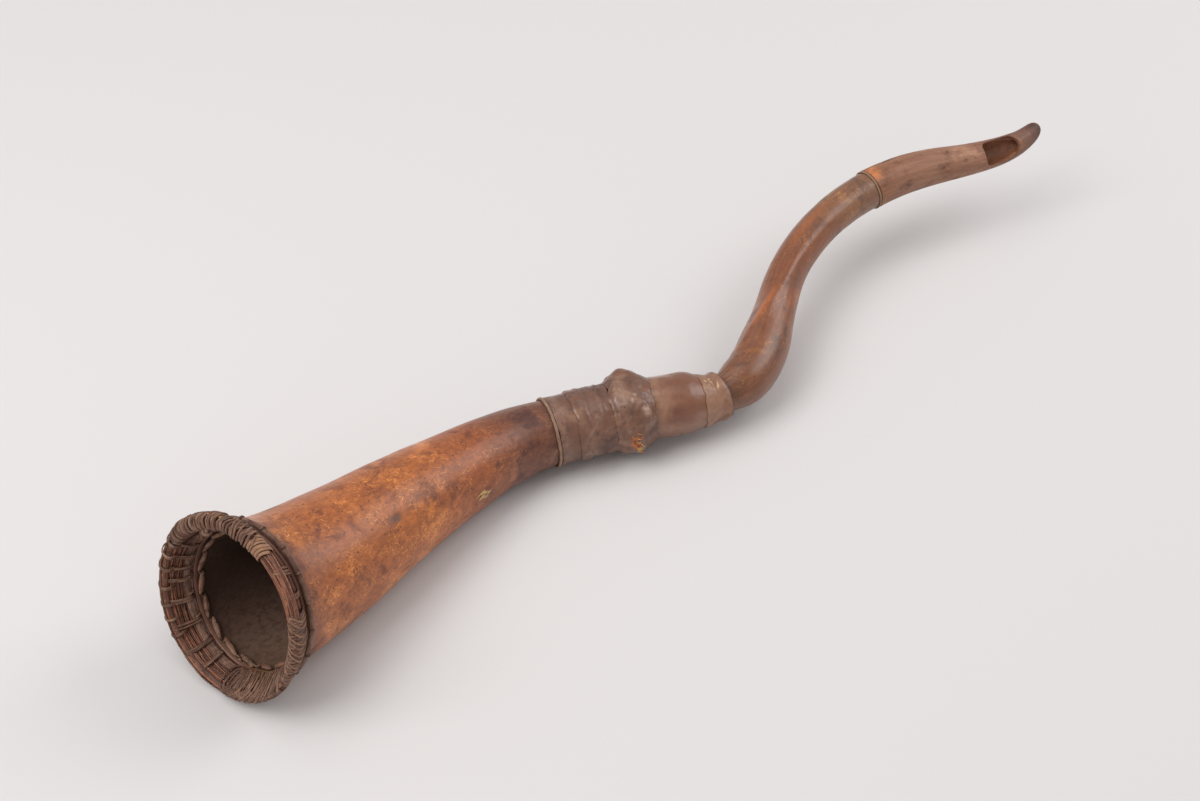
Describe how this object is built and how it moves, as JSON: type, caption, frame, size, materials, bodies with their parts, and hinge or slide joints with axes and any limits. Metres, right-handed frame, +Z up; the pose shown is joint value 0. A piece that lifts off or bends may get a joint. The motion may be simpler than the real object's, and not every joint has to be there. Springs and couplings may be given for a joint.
{
  "type": "side-blown gourd trumpet",
  "caption": "Side-blown horn of a conical gourd bell, a curved gourd neck and a mouth tube with a side blow hole, hide over the joint and a basketry collar at the mouth.",
  "frame": {"origin": "under the middle of the horn's box, on the surface that it lies on", "axes": "+X along the horn from the bell's mouth to the tip, +Z up as it lies, +Y to the side that the blow hole faces away from"},
  "size_m": [0.9226, 0.1516, 0.1468],
  "materials": {
    "gourd": "satin, mottled orange-brown, hand-worn",
    "mouth_wood": "satin, lighter pinkish brown",
    "hide": "dark, shrunk on, satin with wrinkles",
    "pale_hide": "scraped, pale, dry",
    "cane": "dry split cane",
    "bark_fibre": "coarse, dusty bark fibre",
    "gum": "dark plant gum"
  },
  "bodies": {
    "root": {"bell_gourd": "gourd", "neck_gourd": "gourd", "mouth_tube": "mouth_wood", "joint_packing": "bark_fibre", "joint_gum": "gum", "mouth_joint_gum": "gum", "front_sleeve": "hide", "front_sleeve_turn": "hide", "rear_sleeve": "hide", "rear_cuff": "pale_hide", "joint_cover": "hide", "edge_thong": "pale_hide", "lip_splint": "cane", "lip_rod": "cane", "lip_lacing": "bark_fibre", "cross_ties": "bark_fibre", "rim_knot": "bark_fibre", "loose_strand": "bark_fibre", "roll_rod_outer": "cane", "roll_rod_front": "cane", "roll_rod_inner": "cane", "collar_rod_1": "cane", "collar_rod_2": "cane", "wrap_top_left": "bark_fibre", "wrap_crown": "bark_fibre", "wrap_foot": "bark_fibre", "wrap_right": "bark_fibre"}
  },
  "joints": []
}
